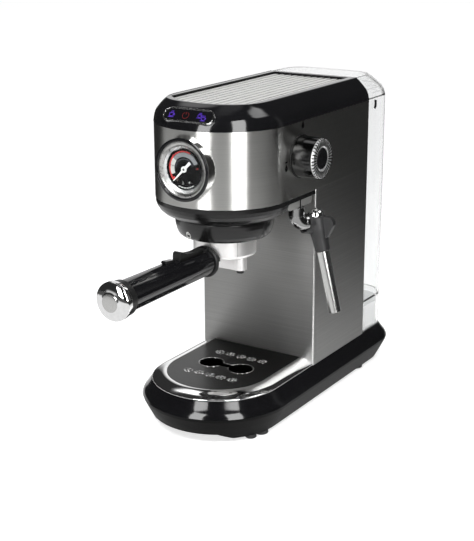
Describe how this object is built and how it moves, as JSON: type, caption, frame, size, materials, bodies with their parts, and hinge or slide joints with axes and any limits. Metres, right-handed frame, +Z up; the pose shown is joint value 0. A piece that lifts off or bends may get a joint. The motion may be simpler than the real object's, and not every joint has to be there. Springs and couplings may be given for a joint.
{
  "type": "espresso machine",
  "caption": "Slim pump espresso machine with a round front, clear rear water tank, portafilter with twin spout, steam wand, pressure gauge and lift-out drip tray.",
  "frame": {"origin": "on the table under the middle of the base, midway between its front and rear ends", "axes": "+Z up, -Y towards the user and the portafilter's handle, +X to the user's right, the side with the steam knob and wand"},
  "size_m": [0.1727, 0.4148, 0.313],
  "materials": {
    "gloss_black": "polished moulding",
    "satin_black": "satin moulding",
    "chin_black": "soft gloss",
    "brushed_steel": "brushed",
    "column_steel": "brushed",
    "chrome": "mirror",
    "silvered": "satin",
    "cast_metal": "satin cast",
    "plate_metal": "satin",
    "bracket_grey": "satin",
    "rubber": "matt",
    "grip_rubber": "satin",
    "dial_black": "printed",
    "needle_white": "satin",
    "lens_clear": "clear",
    "panel_black": "polished",
    "drip_grey": "satin",
    "tank_clear": "clear moulding",
    "dock_grey": "satin",
    "valve_white": "satin",
    "seal_red": "matt",
    "brass": "turned",
    "steel": "turned",
    "cast_ali": "as cast",
    "board_green": "lacquered",
    "pump_body": "satin",
    "hose": "satin silicone"
  },
  "bodies": {
    "machine": {"base_shell": "gloss_black", "base_floor": "satin_black", "feet": "rubber", "base_screws": "steel", "column_shell": "column_steel", "rear_panel": "satin_black", "tank_dock": "dock_grey", "dock_seal": "seal_red", "head_deck": "satin_black", "head_band": "brushed_steel", "head_chin": "chin_black", "elbow_bracket": "bracket_grey", "group_collar": "gloss_black", "top_cap": "gloss_black", "cup_plate": "plate_metal", "touch_panel": "panel_black", "touch_ring": "chrome", "gauge_housing": "chrome", "gauge_ring": "gloss_black", "gauge_funnel": "silvered", "gauge_dial": "dial_black", "gauge_lens": "lens_clear", "knob_plate": "satin_black", "steam_valve": "brass", "boiler": "cast_ali", "boiler_bolts": "steel", "bayonet_ring": "cast_ali", "group_gasket": "rubber", "shower_screen": "steel", "pump": "pump_body", "pump_mounts": "rubber", "control_board": "board_green", "inlet_hose": "hose", "pressure_hose": "hose"},
    "steam_knob": {"steam_knob": "chrome", "knob_bezel": "chrome", "knob_insert": "gloss_black", "valve_spindle": "steel"},
    "steam_elbow": {"steam_elbow": "chrome"},
    "steam_wand": {"wand_grip": "grip_rubber", "wand_nut": "chrome", "wand_sleeve": "brushed_steel", "wand_tip": "steel"},
    "portafilter": {"portafilter_body": "cast_metal", "filter_basket": "steel", "twin_spout": "cast_metal", "spout_nozzles": "rubber", "handle_flange": "satin_black", "handle_barrel": "gloss_black", "handle_ring": "satin_black", "handle_cap": "chrome"},
    "filter_clip": {"filter_clip": "satin_black"},
    "gauge_needle": {"gauge_needle": "needle_white"},
    "drip_tray": {"drip_basin": "satin_black", "drip_band": "chrome"},
    "drip_plate": {"drip_plate": "drip_grey"},
    "water_tank": {"water_tank": "tank_clear", "lid_hooks": "satin_black"},
    "tank_lid": {"tank_lid": "tank_clear"},
    "tank_valve": {"tank_valve": "valve_white"}
  },
  "joints": [
    {"name": "portafilter_turn", "type": "hinge", "parent": "machine", "child": "portafilter", "pos_m": [0, -0.0749, 0.1956], "axis": [0, 0, 1], "range_deg": [-45, 0]},
    {"name": "filter_clip_flip", "type": "hinge", "parent": "portafilter", "child": "filter_clip", "pos_m": [0, -0.1175, 0.1752], "axis": [-1, 0, 0], "range_deg": [0, 38]},
    {"name": "steam_knob_turn", "type": "hinge", "parent": "machine", "child": "steam_knob", "pos_m": [0.065, -0.0464, 0.25923], "axis": [1, 0, 0], "range_deg": [0, 270]},
    {"name": "elbow_swivel", "type": "hinge", "parent": "machine", "child": "steam_elbow", "pos_m": [0.0595, -0.0429, 0.1935], "axis": [0, 0, 1], "range_deg": [-75, 0]},
    {"name": "wand_tilt", "type": "hinge", "parent": "steam_elbow", "child": "steam_wand", "pos_m": [0.0709, -0.0242, 0.1935], "axis": [-0.5205, -0.8538, 0], "range_deg": [0, 18]},
    {"name": "needle_swing", "type": "hinge", "parent": "machine", "child": "gauge_needle", "pos_m": [0, -0.1454, 0.25685], "axis": [0, 1, 0], "range_deg": [0, 270], "stiffness_Nm_per_rad": 0.0001, "springref_deg": -17.19},
    {"name": "drip_tray_lift", "type": "slide", "parent": "machine", "child": "drip_tray", "axis": [0, 0, 1], "range_m": [0, 0.03]},
    {"name": "drip_plate_lift", "type": "slide", "parent": "drip_tray", "child": "drip_plate", "axis": [0, 0, 1], "range_m": [0, 0.02]},
    {"name": "tank_lift", "type": "slide", "parent": "machine", "child": "water_tank", "axis": [0, 0, 1], "range_m": [0, 0.05]},
    {"name": "lid_lift", "type": "slide", "parent": "water_tank", "child": "tank_lid", "axis": [0, 0, 1], "range_m": [0, 0.04]},
    {"name": "tank_valve_travel", "type": "slide", "parent": "water_tank", "child": "tank_valve", "axis": [0, 0, 1], "range_m": [0, 0.003], "stiffness_N_per_m": 200, "springref_m": -0.003}
  ]
}
